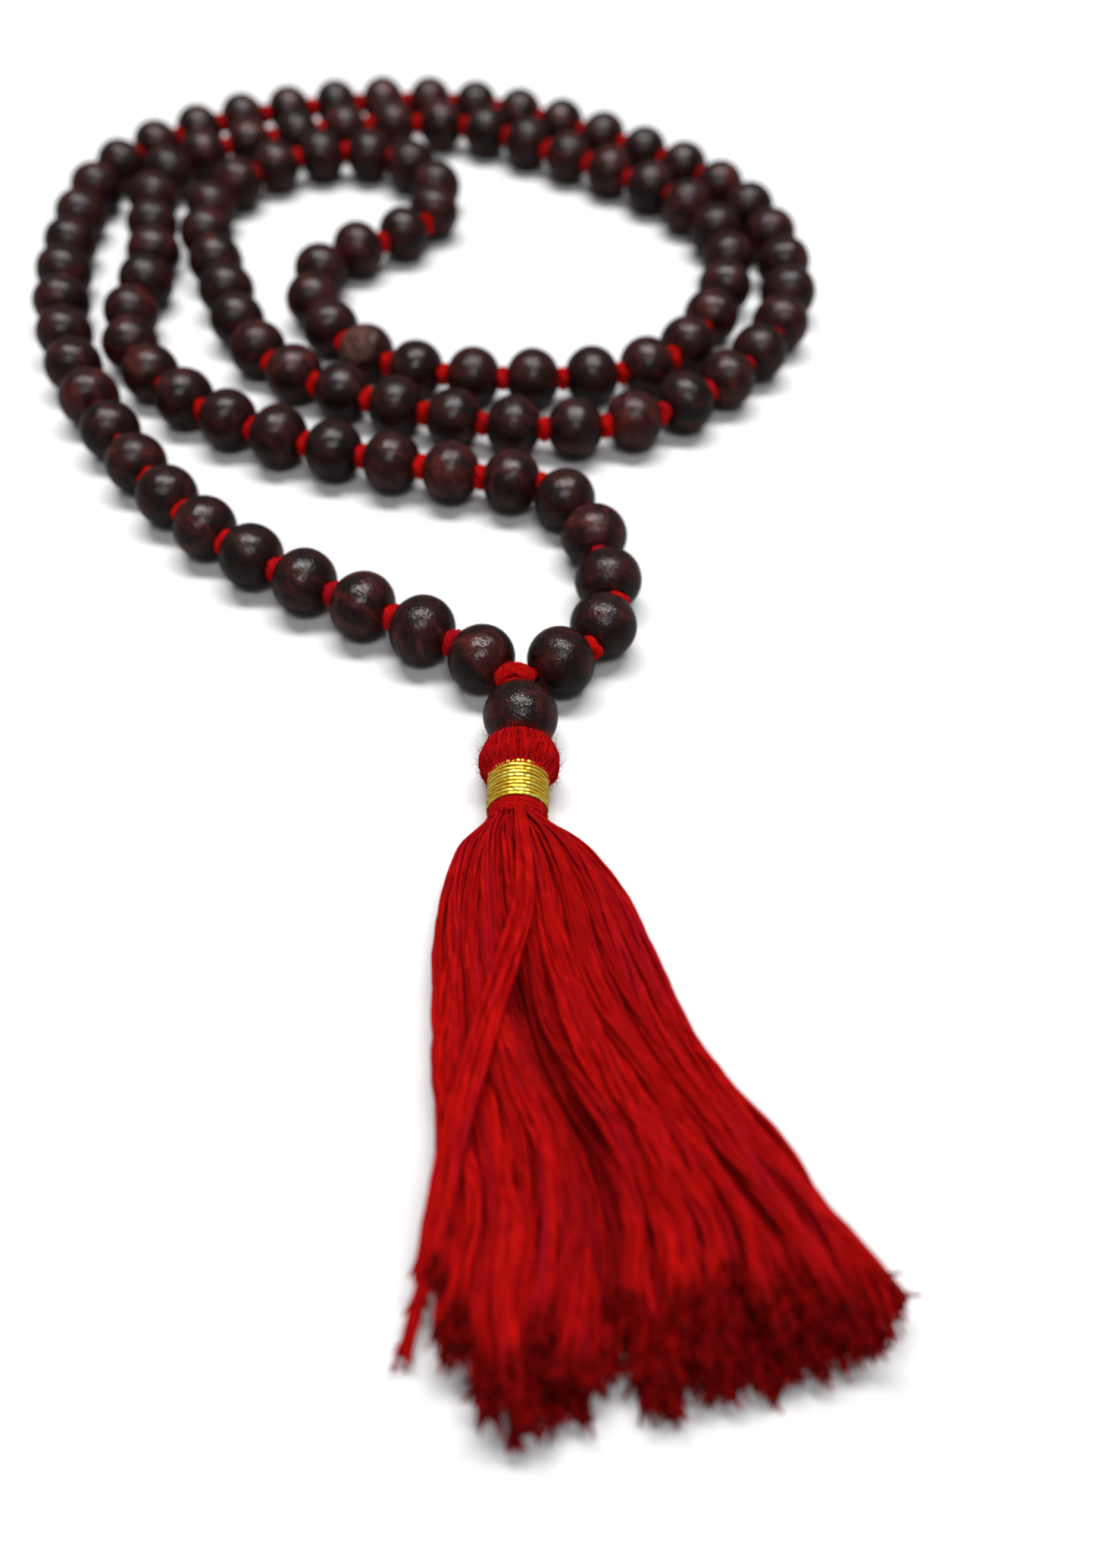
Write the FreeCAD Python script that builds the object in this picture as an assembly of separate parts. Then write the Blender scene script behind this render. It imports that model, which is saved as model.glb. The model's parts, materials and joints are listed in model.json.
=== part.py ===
import FreeCAD, Part

import math
import os
import random

# A 108-bead wooden mala, lying on a table.  Millimetres, +Z up, table at z = 0.
# The origin is on the table, straight under the centre of the guru bead.  The tassel points along -Y.
# Counting starts at the guru bead: bead 1 is on its left (-X) side and bead 108 on its right.

Vec = FreeCAD.Vector
X_AXIS = Vec(1, 0, 0)
Y_AXIS = Vec(0, 1, 0)
Z_AXIS = Vec(0, 0, 1)

# ---- Driving dimensions: beads and cord ------------------------------------------------------
BEAD_COUNT = 108
BEAD_D = 7.9            # mean diameter across the bore
BEAD_D_SPREAD = 0.2     # turned wood varies by this much either way
BEAD_LENGTH = 6.8       # along the bore
FACE_R = 1.45           # small flat at each end of the bore
BORE_R = 0.70
MOUTH_R = 1.20          # the bore opens out to this, where the knot seats
CORD_R = 0.62
KNOT_R = 1.20
KNOT_GAP = 1.25         # face to face between neighbouring beads
CLOSE_GAP = 1.05        # the same along the end of the strand, where the beads sit closer
CLOSE_FROM = 94         # first bead of that closer run, counted from 0
CORD_Z = (BEAD_D + BEAD_D_SPREAD) / 2    # the largest beads rest on the table
FIRST_LINK = 9.4        # from the gather knot to the first small knot
END_GAP = 0.35          # a moving cord end stops this far short of the knot it turns on
TOUCH = 0.02            # between pieces that bear on one another

# ---- Driving dimensions: guru bead and tassel ------------------------------------------------
GURU_D = 8.1
GURU_LENGTH = 7.0
GURU_BORE_R = 1.18
GURU_MOUTH_R = 1.60
GURU_FACE_R = 1.80
GATHER = Vec(-0.2, 5.3, CORD_Z)          # where both strand ends are tied together
GATHER_R = 1.7
PLY_R = 0.60                             # the doubled cord inside the guru bead
PLY_OFFSET = 0.50
PLY_END_GAP = 0.17                       # the plies stop this far short of the gather knot
PIVOT = Vec(0, -4.35, CORD_Z)            # tassel knot, just past the guru bead
PIVOT_R = 0.85
PIVOT_GAP = 0.10                         # round the tassel knot, so that the tassel can turn on it
HEAD_BACK_Y = -4.5
HEAD_BACK_R = 1.2
HEAD_UPPER = (-5.2, 3.35)                # (y, radius) on the round of the head, above its widest
HEAD_WIDEST_Y = -6.6
HEAD_R = 4.05
HEAD_LOWER = (-7.8, 3.75)                # (y, radius) on the round of the head, below its widest
SHOULDER_Y = -8.3
NECK_R = 2.95
WRAP_R = 3.20
WRAP_START_Y = -8.4
WRAP_END_Y = -12.9
TIE_R = 3.15
TIE_END_Y = -13.9
NECK_END_Y = -14.0
SKIRT_START_Y = -14.4

# Stations down the skirt: (y, left edge x, right edge x, thickness, height of the middle).
SKIRT = [
    (SKIRT_START_Y, -3.0, 3.2, 5.8, 4.05),
    (-20.0, -5.6, 8.6, 7.4, 4.00),
    (-30.0, -6.5, 13.2, 7.6, 3.95),
    (-45.0, -5.2, 21.2, 7.8, 4.00),
    (-58.0, -4.2, 28.6, 8.6, 4.40),
    (-66.0, -3.0, 30.6, 9.0, 4.60),
]
# The three locks part along two straight lines down the skirt: x at its start and at its end.
LEFT_PARTING = (-0.97, 8.20)
RIGHT_PARTING = (1.12, 19.30)
PARTING_GAP = 0.40
RING_POINTS = 8         # on the outline of a lock
# Centre line of the loose lock that lies over the left one, with its radius at each point.
STRAY = [
    (0.3, -15.0, 8.3, 0.9),
    (0.9, -24.0, 9.3, 1.0),
    (-0.4, -33.0, 9.4, 1.0),
    (-3.2, -44.0, 9.4, 1.0),
    (-5.2, -55.0, 7.0, 0.9),
    (-7.6, -64.5, 1.3, 0.8),
]

# ---- Walking along the lay -------------------------------------------------------------------
COARSE_STEPS = 4000     # along the whole curve
HALVINGS = 30           # of one coarse step, to place a knot

# ---- How the strand lies ---------------------------------------------------------------------
# Poles of the smooth curve that the knots follow, in strand order (x, y).
LAY = [
    (-4.9, 9.6), (-19.1, 16.5), (-39.1, 27.1), (-53.9, 46.5), (-64.0, 62.9), (-70.1, 83.9),
    (-71.6, 115.9), (-59.2, 126.5), (-51.2, 134.4), (-17.4, 143.3), (3.3, 133.2), (26.9, 117.9),
    (35.8, 102.7), (39.1, 77.3), (25.1, 58.3), (9.4, 47.4), (-15.3, 51.9), (-40.9, 62.9),
    (-44.7, 85.5), (-56.8, 104.4), (-34.5, 127.7), (-11.9, 114.3), (-17.0, 94.6), (-38.8, 90.2),
    (-24.9, 58.5), (12.0, 60.9), (21.9, 65.6), (33.8, 97.6), (14.9, 116.0), (0.2, 123.8),
    (-14.2, 135.7), (-47.3, 126.1), (-65.9, 115.3), (-52.8, 83.1), (-61.5, 73.9), (-45.4, 47.4),
    (10.2, 36.4), (5.3, 38.8), (11.4, 15.3), (11.2, 11.7),
]
# The lay folds along six straight lines.  Each line runs through these knots.
FOLDS = {
    "neck": (3, 105),
    "lower": (6, 102),
    "front": (9, 98),
    "middle": (14, 37, 50, 63, 72, 92),
    "back": (17, 35, 53, 60, 74, 89),
    "rear": (20, 30, 80, 85),
}
# Runs of beads between fold lines, as (first bead, one past the last) counted from 0.
SPANS = {
    "neck": [(0, 3), (105, 108)],
    "lower": [(3, 6), (102, 105)],
    "front": [(6, 9), (98, 102)],
    "coil": [(9, 14), (37, 50), (63, 72), (92, 98)],
    "middle": [(14, 17), (35, 37), (50, 53), (60, 63), (72, 74), (89, 92)],
    "back": [(17, 20), (30, 35), (53, 60), (74, 80), (85, 89)],
    "rear": [(20, 30), (80, 85)],
}
# Beads that are separate nodes; the others of a span share one node.
SINGLE_RUNS = [(0, 9), (37, 50), (92, 108)]


def pitch(i):
    """From the small knot before bead i to the one after it."""
    return BEAD_LENGTH + (CLOSE_GAP if i >= CLOSE_FROM else KNOT_GAP)


def strand_knots():
    """Walk along the lay with dividers: knot 0 is the gather knot and knot 108 is its other end."""
    start = GATHER
    curve = Part.BSplineCurve()
    curve.buildFromPoles([start] + [Vec(x, y, CORD_Z) for x, y in LAY] + [start], False, 3)
    knots = [start]
    u = curve.FirstParameter
    step = (curve.LastParameter - u) / COARSE_STEPS
    reach = FIRST_LINK
    for _ in range(BEAD_COUNT - 1):
        low = u
        while (curve.value(u) - knots[-1]).Length < reach:
            low = u
            u += step
        high = u
        for _ in range(HALVINGS):
            mid = (low + high) / 2
            if (curve.value(mid) - knots[-1]).Length < reach:
                low = mid
            else:
                high = mid
        u = high
        knots.append(curve.value(u))
        reach = pitch(len(knots) - 1)
    return knots + [start]


def bead_seat(knots, i):
    """Centre and bore direction of bead i, which touches the small knot on its own side."""
    a, b = knots[i], knots[i + 1]
    along = (b - a).normalize()
    if i == 0:
        return b - along * (pitch(i) / 2), along
    return a + along * (pitch(i) / 2), along


def turned(profile, axis_point, axis):
    """A solid turned from a closed list of edges."""
    face = Part.Face(Part.Wire(profile))
    solid = face.revolve(axis_point, axis, 360)
    return Part.Solid(solid) if solid.ShapeType == "Shell" else solid


def bead(diameter, length, face_r, mouth_r, bore_r):
    """A bead turned about X: near-spherical, with flat ends and a bore that opens at each mouth."""
    half = length / 2
    depth = mouth_r - bore_r
    left_out, right_out = Vec(-half, face_r, 0), Vec(half, face_r, 0)
    left_mouth, right_mouth = Vec(-half, mouth_r, 0), Vec(half, mouth_r, 0)
    left_bore, right_bore = Vec(-half + depth, bore_r, 0), Vec(half - depth, bore_r, 0)
    outline = [
        Part.Arc(left_out, Vec(0, diameter / 2, 0), right_out).toShape(),
        Part.makeLine(right_out, right_mouth),
        Part.makeLine(right_mouth, right_bore),
        Part.makeLine(right_bore, left_bore),
        Part.makeLine(left_bore, left_mouth),
        Part.makeLine(left_mouth, left_out),
    ]
    return turned(outline, Vec(0, 0, 0), X_AXIS)


def placed(shape, centre, along):
    """The shape moved so that its X axis lies along the given direction."""
    out = shape.copy()
    out.Placement = FreeCAD.Placement(centre, FreeCAD.Rotation(X_AXIS, along))
    return out


def all_beads(knots):
    """Every counted bead in its seat, each turned to its own diameter."""
    sizes = random.Random(BEAD_COUNT)
    beads = []
    for i in range(BEAD_COUNT):
        diameter = BEAD_D + sizes.uniform(-BEAD_D_SPREAD, BEAD_D_SPREAD)
        centre, along = bead_seat(knots, i)
        beads.append(placed(bead(diameter, BEAD_LENGTH, FACE_R, MOUTH_R, BORE_R), centre, along))
    return beads


def cord_run(knots, first, last, own_ends):
    """Cord from knot first to knot last with its small knots, as one solid.

    A run keeps the knots at its ends only where own_ends says so.  Otherwise the cord stops short
    of the knot, which belongs to the span that this one folds against.
    """
    pieces = []
    for i in range(first, last):
        a, b = knots[i], knots[i + 1]
        along = (b - a).normalize()
        if i == first and not own_ends[0]:
            a = a + along * end_clearance(first)
        if i == last - 1 and not own_ends[1]:
            b = b - along * end_clearance(last)
        pieces.append(Part.makeCylinder(CORD_R, (b - a).Length, a, along))
    kept = list(range(first + 1, last))
    if own_ends[0]:
        kept.append(first)
    if own_ends[1]:
        kept.append(last)
    pieces += [small_knot(knots, k) for k in kept]
    return pieces[0].fuse(pieces[1:]).Solids[0]


def small_knot(knots, k):
    """A ball knot whose poles face sideways and whose seam faces up, both clear of the cord."""
    side = Z_AXIS.cross(knots[k + 1] - knots[k - 1]).normalize()
    ball = Part.makeSphere(KNOT_R)
    ball.Placement = FreeCAD.Placement(knots[k], FreeCAD.Rotation(Z_AXIS, side.cross(Z_AXIS), side, "ZXY"))
    return ball


def end_clearance(knot):
    """How far from a knot's centre a cord that doesn't own the knot must stop."""
    if knot in (0, BEAD_COUNT):
        return GATHER_R + TOUCH
    return KNOT_R + END_GAP


def owner_of_knot(knot, span):
    """True if this span holds the knot: a fold line's knots belong to the span nearer the coil."""
    if knot in (0, BEAD_COUNT):
        return False
    if span in FOLDS and knot in FOLDS[span]:
        return False
    return True


def span_cord(knots, span):
    """The cord of one span: a separate solid for each run of beads in it."""
    runs = []
    for first, last in SPANS[span]:
        own_ends = (owner_of_knot(first, span), owner_of_knot(last, span))
        runs.append(cord_run(knots, first, last, own_ends))
    return Part.makeCompound(runs)


def guru_bead():
    """The guru bead, with its bore along Y and wide enough for the doubled cord."""
    solid = bead(GURU_D, GURU_LENGTH, GURU_FACE_R, GURU_MOUTH_R, GURU_BORE_R)
    return placed(solid, Vec(0, 0, CORD_Z), Y_AXIS)


def gather_knot():
    """The large knot that ties both strand ends together behind the guru bead."""
    return Part.makeSphere(GATHER_R, GATHER)


def guru_cord():
    """Both cord ends side by side through the guru bead, from the gather knot to the tassel knot."""
    start_y = GATHER.y - GATHER_R - PLY_END_GAP
    end_y = PIVOT.y + PIVOT_R + PIVOT_GAP
    plies = []
    for side in (-1, 1):
        start = Vec(side * PLY_OFFSET, start_y, CORD_Z)
        plies.append(Part.makeCylinder(PLY_R, start.y - end_y, start, Y_AXIS * -1))
    return plies[0].fuse(plies[1]).Solids[0]


def tassel_knot():
    """The knot between the doubled cord and the tassel, on which the tassel swings and lifts."""
    return Part.makeSphere(PIVOT_R, PIVOT)


def tassel_head():
    """The folded top of the yarn bundle: a ball, then the neck that the wrap and tie grip."""
    def at(y, r):
        return Vec(0, y, CORD_Z + r)
    outline = [
        Part.makeLine(at(HEAD_BACK_Y, 0), at(HEAD_BACK_Y, HEAD_BACK_R)),
        Part.Arc(at(HEAD_BACK_Y, HEAD_BACK_R), at(*HEAD_UPPER), at(HEAD_WIDEST_Y, HEAD_R)).toShape(),
        Part.Arc(at(HEAD_WIDEST_Y, HEAD_R), at(*HEAD_LOWER), at(SHOULDER_Y, NECK_R)).toShape(),
        Part.makeLine(at(SHOULDER_Y, NECK_R), at(NECK_END_Y, NECK_R)),
        Part.makeLine(at(NECK_END_Y, NECK_R), at(NECK_END_Y, 0)),
        Part.makeLine(at(NECK_END_Y, 0), at(HEAD_BACK_Y, 0)),
    ]
    solid = turned(outline, Vec(0, 0, CORD_Z), Y_AXIS)
    dimple = Part.makeSphere(PIVOT_R + PIVOT_GAP, PIVOT)
    return solid.cut(dimple).Solids[0]


def sleeve(outer_r, start_y, end_y):
    """A plain ring round the neck between two stations."""
    start = Vec(0, start_y, CORD_Z)
    length = start_y - end_y
    outer = Part.makeCylinder(outer_r, length, start, Y_AXIS * -1)
    inner = Part.makeCylinder(NECK_R + TOUCH, length, start, Y_AXIS * -1)
    return outer.cut(inner).Solids[0]


def gold_wrap():
    """Metallic thread wound round the neck of the tassel."""
    return sleeve(WRAP_R, WRAP_START_Y, WRAP_END_Y)


def neck_tie():
    """Red thread tied round the neck just below the metallic wrap."""
    return sleeve(TIE_R, WRAP_END_Y - TOUCH, TIE_END_Y)


def on_parting(parting, y):
    """Where a straight parting line is at one station of the skirt."""
    start_x, end_x = parting
    end_y = SKIRT[-1][0]
    return start_x + (end_x - start_x) * (y - SKIRT_START_Y) / (end_y - SKIRT_START_Y)


def ring(centre, half_width, half_height):
    """A closed smooth ring through points of an ellipse, all rings starting at the same side."""
    points = []
    for k in range(RING_POINTS):
        angle = 2 * math.pi * k / RING_POINTS
        points.append(centre + Vec(half_width * math.cos(angle), 0, half_height * math.sin(angle)))
    curve = Part.BSplineCurve()
    curve.interpolate(Points=points, PeriodicFlag=True)
    return Part.Wire(curve.toShape())


def skirt_lock(left_parting, right_parting):
    """One lock of the skirt; a side without a parting is the skirt's own edge."""
    rings = []
    for y, left, right, thickness, middle_z in SKIRT:
        if left_parting:
            left = on_parting(left_parting, y) + PARTING_GAP / 2
        if right_parting:
            right = on_parting(right_parting, y) - PARTING_GAP / 2
        rings.append(ring(Vec((left + right) / 2, y, middle_z), (right - left) / 2, thickness / 2))
    return Part.makeLoft(rings, True, False)


def stray_lock():
    """The loose lock: a tapering bundle laid over the left lock, its tip on the table."""
    rings = [ring(Vec(x, y, z), r, r) for x, y, z, r in STRAY]
    return Part.makeLoft(rings, True, False)


def bead_nodes(knots):
    """Nodes for the counted beads: the single ones, then one group for each span's other beads."""
    beads = all_beads(knots)
    single = {i for first, last in SINGLE_RUNS for i in range(first, last)}
    nodes = {f"bead_{i + 1:03d}": beads[i] for i in sorted(single)}
    for span, runs in SPANS.items():
        rest = [i for first, last in runs for i in range(first, last) if i not in single]
        if rest:
            nodes[f"{span}_beads"] = Part.makeCompound([beads[i] for i in rest])
    return nodes


def build():
    """Every node of the mala by name."""
    knots = strand_knots()
    nodes = bead_nodes(knots)
    for span in SPANS:
        nodes[f"{span}_cord"] = span_cord(knots, span)
    nodes["gather_knot"] = gather_knot()
    nodes["guru_bead"] = guru_bead()
    nodes["guru_cord"] = guru_cord()
    nodes["tassel_knot"] = tassel_knot()
    nodes["tassel_head"] = tassel_head()
    nodes["gold_wrap"] = gold_wrap()
    nodes["neck_tie"] = neck_tie()
    nodes["lock_left"] = skirt_lock(None, LEFT_PARTING)
    nodes["lock_middle"] = skirt_lock(LEFT_PARTING, RIGHT_PARTING)
    nodes["lock_right"] = skirt_lock(RIGHT_PARTING, None)
    nodes["lock_stray"] = stray_lock()
    return nodes


def main():
    os.makedirs("parts", exist_ok=True)
    for name, shape in build().items():
        shape.exportStep(f"parts/{name}.step")


if __name__ == "__main__":
    main()
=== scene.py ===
import json
import math

import bpy
import numpy as np
from mathutils import Matrix, Vector

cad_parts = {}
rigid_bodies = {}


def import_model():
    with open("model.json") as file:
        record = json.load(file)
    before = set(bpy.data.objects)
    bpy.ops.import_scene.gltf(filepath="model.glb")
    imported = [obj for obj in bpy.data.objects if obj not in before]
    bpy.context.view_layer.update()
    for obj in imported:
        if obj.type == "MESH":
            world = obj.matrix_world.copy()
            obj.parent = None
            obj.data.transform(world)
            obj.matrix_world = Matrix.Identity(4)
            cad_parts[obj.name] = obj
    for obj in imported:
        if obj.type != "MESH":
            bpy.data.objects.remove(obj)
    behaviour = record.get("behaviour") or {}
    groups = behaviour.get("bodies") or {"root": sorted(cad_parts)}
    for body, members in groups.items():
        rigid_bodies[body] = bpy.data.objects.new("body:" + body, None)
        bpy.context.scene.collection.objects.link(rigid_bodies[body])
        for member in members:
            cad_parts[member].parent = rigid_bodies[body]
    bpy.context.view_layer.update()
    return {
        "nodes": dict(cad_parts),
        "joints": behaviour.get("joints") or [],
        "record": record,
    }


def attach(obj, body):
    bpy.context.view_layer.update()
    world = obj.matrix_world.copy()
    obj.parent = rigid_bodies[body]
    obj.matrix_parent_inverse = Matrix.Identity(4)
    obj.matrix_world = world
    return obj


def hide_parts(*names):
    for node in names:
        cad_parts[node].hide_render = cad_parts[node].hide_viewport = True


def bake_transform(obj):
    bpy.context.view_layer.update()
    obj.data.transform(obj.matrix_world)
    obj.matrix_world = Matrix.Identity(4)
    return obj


# Looks of a 108-bead wooden mala: turned beads, small red knots, and a yarn tassel with a gold wrap.
# Lengths here are in millimetres; MM turns them into the frame's metres when a mesh is made.

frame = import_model()

MM = 0.001
SEED = 1445
CORD_Z = 4.05                   # height of the cord above the table
PITCH = 8.05                    # from one small knot to the next, on most of the strand

# ---- Beads -------------------------------------------------------------------------------------
BEAD_AROUND = 72                # points round a bead
BARREL_STEPS = 34               # points along it
MOUTH_R = 1.20                  # where the bore opens out
FACE_R = 1.45                   # small flat at each end of the bore
BORE_R = 0.70
GURU_GROW = 0.40                # the guru bead's mouth and face are this much wider
WOBBLE = 0.045                  # hand finishing leaves each bead this far out of round
WORN_BEAD = (-24.0, 67.5)       # (x, y) of a bead whose upper face has lost its varnish
WORN_FACING = (-0.28, -0.42, 0.86)
# Shallow pits in the bare face: (direction from the bead's centre, depth, width as an angle).
WORN_PITS = [((-0.10, -0.25, 0.95), 0.28, 0.20), ((-0.55, -0.48, 0.70), 0.30, 0.13)]

# ---- Cord and knots ----------------------------------------------------------------------------
CORD_R = 0.58
CORD_TAIL = 1.3                 # the cord runs on this far past its last bead, into the gather knot
MEETING = 1.0                   # cord ends nearer than this meet in one small knot
KNOT_RING_R = 0.76              # centre line of an overhand knot pulled tight
KNOT_SWAY = 0.30                # its loops go this far in and out
KNOT_DEPTH = 0.24               # and this far to either side
KNOT_YARN_R = 0.62
CORE_RADII = (0.60, 0.95, 1.05, 0.95, 0.60)     # of the plain lump inside a small knot
BALL_REACH = 1.35               # all of a small knot's CAD ball lies this near to its middle
BALL_MIN_R = 0.90               # and only a ball is wider than this round the cord
GATHER_LUMP = (-0.75, 5.05, 4.55)       # middle of the wound lump, which sits to the left of its knot
GATHER_AXES = (2.25, 1.50, 1.95)
GATHER_TURNS = 9
GATHER_TILTS = 1.35             # the windings lean over this many times as they go round
GATHER_YARN_R = 0.40
GATHER_FUZZ = 60
# A loose hair from the gather knot over the guru bead.
HAIR = [(-1.6, 4.9, 5.7), (-0.7, 4.3, 7.4), (0.9, 3.2, 8.5), (2.0, 2.0, 8.4), (2.7, 0.6, 7.6),
        (2.8, -0.4, 7.1)]
HAIR_R = 0.022

# ---- Tassel ------------------------------------------------------------------------------------
# Outline of the head and neck: (y, radius).
HEAD = [(-4.5, 0.5), (-4.15, 1.6), (-4.0, 2.5), (-4.45, 3.35), (-5.4, 3.86), (-6.6, 4.05), (-7.6, 3.88),
        (-8.3, 3.30), (-9.2, 2.92), (-11.5, 2.85), (-14.6, 2.80)]
HEAD_STRANDS = 230
HEAD_STEPS = 46                 # points down a strand of the head
HEAD_FUZZ = 800                 # short fibres that stand off it
HEAD_FUZZ_R = 0.022
# Flat metallic thread wound round the neck.
WRAP_START_Y = -8.45
WRAP_PITCH = 0.46
WRAP_TURNS = 10
WRAP_R = 3.08
WRAP_AROUND = 58                # points in one turn
FOIL_HALF_W = 0.49 * WRAP_PITCH
FOIL_HALF_T = 0.11
# Section of the wound foil: (across, outwards) as shares of its half width and half thickness, and how
# dark the painted shade is there, deepest at the edges and underneath, where the turns meet.
FOIL = [(-1, -0.6, 1.0), (-0.82, 0.25, 0.6), (-0.48, 0.78, 0.0), (0, 1, 0.0), (0.48, 0.78, 0.0),
        (0.82, 0.25, 0.6), (1, -0.6, 1.0), (0, -0.8, 1.0)]
CREASE = 4                      # every so many points the foil is creased, and its tone changes
# The red yarn that binds the neck below it.
TIE_START_Y = -13.05
TIE_PITCH = 0.30
TIE_TURNS = 4
TIE_AROUND = 60                 # points in one turn
TIE_R = 2.84
TIE_YARN_R = 0.17
# Stations down the skirt: (y, left edge, right edge, thickness, height of the middle).
SKIRT = [
    (-13.0, -2.3, 2.3, 4.7, 4.05), (-14.6, -3.0, 3.2, 5.6, 4.05), (-17.0, -5.1, 6.6, 6.8, 4.05),
    (-20.0, -6.1, 9.0, 7.4, 4.0), (-24.0, -6.8, 11.2, 7.6, 4.0), (-30.0, -7.0, 13.6, 7.7, 4.0),
    (-38.0, -6.6, 17.4, 7.8, 4.0), (-45.0, -6.0, 21.4, 7.9, 4.0), (-52.0, -5.6, 26.2, 8.2, 4.2),
    (-58.0, -5.5, 30.8, 8.6, 4.4), (-64.0, -5.0, 33.0, 8.9, 4.6), (-71.0, -3.6, 33.5, 9.0, 4.6),
]
# How far down the yarn ends reach: (x, y) along the foot of the skirt.
FOOT = [(-5.5, -62.6), (-3.4, -65.4), (-1.0, -68.6), (1.2, -70.8), (3.5, -69.8), (6.0, -68.2),
        (8.4, -66.0), (11.3, -68.0), (16.0, -67.4), (20.0, -66.2), (24.0, -65.0), (28.0, -64.0),
        (32.0, -62.0)]
FOOT_MIDDLE = 13.5              # x where the middle strand ends
FOOT_HALF = 18.0                # and how far to either side the outermost ones end
SKIRT_TOP_Y = -13.1             # the strands start here, hidden by the tie
STRANDS = 118                   # spread evenly over the bundle's section
STRAND_YARNS = 5                # yarns laid together in one strand
CUT_SLOPE = 4.6                 # the upper strands are cut this much shorter than the lowest
CUT_UNEVEN = 0.7                # and each strand longer or shorter by about this
UNDER_STRANDS = 30              # more of them side by side on the underside, so no light shows through
UNDER_PLACE = -0.5              # how low in the bundle these lie, as b in strand_line
FIRST_DRIFT = 0.34              # how far one loose yarn of a strand wanders from its place in the twist
DRIFT = 0.15                    # and how far the other yarns do
CUT_SHADE_MIDDLE = 0.92         # how dark the cut ends are; those on the right get more light
CUT_SHADE_SLOPE = 0.20
YARN_R = 0.29
YARN_STEPS = 64
FRAYS = 5                       # fibres that stand off each cut end
# The valley that parts the left lock from the others: (y, x).
VALLEY = [(-67.0, 8.2), (-56.0, 8.7), (-47.5, 6.6), (-41.5, 3.6), (-37.0, 1.9), (-31.0, 0.5), (-24.0, 0.2)]
VALLEY_TOP_Y = -25.0            # it starts here
VALLEY_FADE = 12.0              # and is at its full depth this much further down
VALLEY_DEPTH = 3.8
VALLEY_GAP = 0.45               # its sides stand this far back
VALLEY_SHADE = 0.62
LEFT_SHARE = -0.33              # strands left of this place in the bundle belong to the left lock
RIGHT_SHARE = 0.33              # and those right of this one to the right lock
# The loose lock that crosses over the skirt, then hangs at its left edge.
STRAY = [(0.1, -13.4, 6.2), (0.3, -15.5, 7.7), (0.7, -19.5, 8.6), (1.0, -24.0, 8.8), (0.7, -28.0, 8.7),
         (-0.5, -32.5, 8.4), (-2.0, -38.0, 7.8), (-3.3, -43.5, 7.1), (-4.5, -49.0, 6.4),
         (-5.2, -54.0, 5.5), (-6.2, -59.5, 3.4), (-7.5, -64.5, 1.2)]
STRAY_YARNS = 7
STRAY_YARN_R = 0.36

# ---- Stage -------------------------------------------------------------------------------------
WALL_COLOUR = (0.95, 0.97, 1.0, 1.0)
WALL_LIGHT = 0.11               # how strongly it lights the beads
WALL_SEEN = 0.82                # and how bright it looks to the camera
# The camera's values are in metres and radians.
CAMERA_AT = (0.0030, -0.0935, 0.1109)
CAMERA_DOWN = 0.9027            # how far it looks down from level
CAMERA_ROLL = 0.01781
CAMERA_LENS = 43.6              # focal length for a sensor 36 mm wide
FOCUS_AT = (0, -0.004, 0.007)
F_STOP = 15.0


# ---- Small helpers -----------------------------------------------------------------------------
def unit(v):
    """Vectors scaled to length one."""
    return v / np.maximum(np.linalg.norm(v, axis=-1, keepdims=True), 1e-12)


def smooth_step(t):
    """From 0 to 1 with a soft start and end."""
    t = np.clip(t, 0, 1)
    return t * t * (3 - 2 * t)


def curve_through(points, count):
    """A smooth path of count points through the given ones, evenly spaced along it."""
    p = np.array(points, float)
    p = np.vstack([2 * p[0] - p[1], p, 2 * p[-1] - p[-2]])
    fine = []
    for k in range(1, len(p) - 2):
        t = np.linspace(0, 1, 24, endpoint=False)[:, None]
        a, b, c, d = p[k - 1], p[k], p[k + 1], p[k + 2]
        fine.append(0.5 * (2 * b + (c - a) * t + (2 * a - 5 * b + 4 * c - d) * t**2
                           + (3 * b - a - 3 * c + d) * t**3))
    fine = np.vstack(fine + [p[-2:-1]])
    length = np.concatenate([[0], np.cumsum(np.linalg.norm(np.diff(fine, axis=0), axis=1))])
    at = np.linspace(0, length[-1], count)
    return np.stack([np.interp(at, length, fine[:, k]) for k in range(p.shape[1])], axis=1)


def wander(t, rng, waves, count=3):
    """A smooth random wave of about unit height along t, with up to the given number of waves."""
    total = np.zeros_like(t)
    for _ in range(count):
        total += np.sin(2 * math.pi * (rng.uniform(0.3, 1.0) * waves * t + rng.uniform(0, 1)))
    return total / math.sqrt(count)


def lumps(points, rng, size, count=7):
    """A smooth random field of about unit height at the given points; size is its wavelength."""
    total = np.zeros(len(points))
    for _ in range(count):
        k = unit(rng.normal(size=3)) * 2 * math.pi / (size * rng.uniform(0.7, 1.5))
        total += np.sin(points @ k + rng.uniform(0, 2 * math.pi))
    return total / math.sqrt(count)


def grid(rows, cols, wrap_rows=False):
    """Quads over rows x cols points; each row closes on itself."""
    r, c = np.meshgrid(np.arange(rows if wrap_rows else rows - 1), np.arange(cols), indexing="ij")
    r2, c2 = (r + 1) % rows, (c + 1) % cols
    return np.stack([r * cols + c, r * cols + c2, r2 * cols + c2, r2 * cols + c], axis=-1).reshape(-1, 4)


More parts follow.
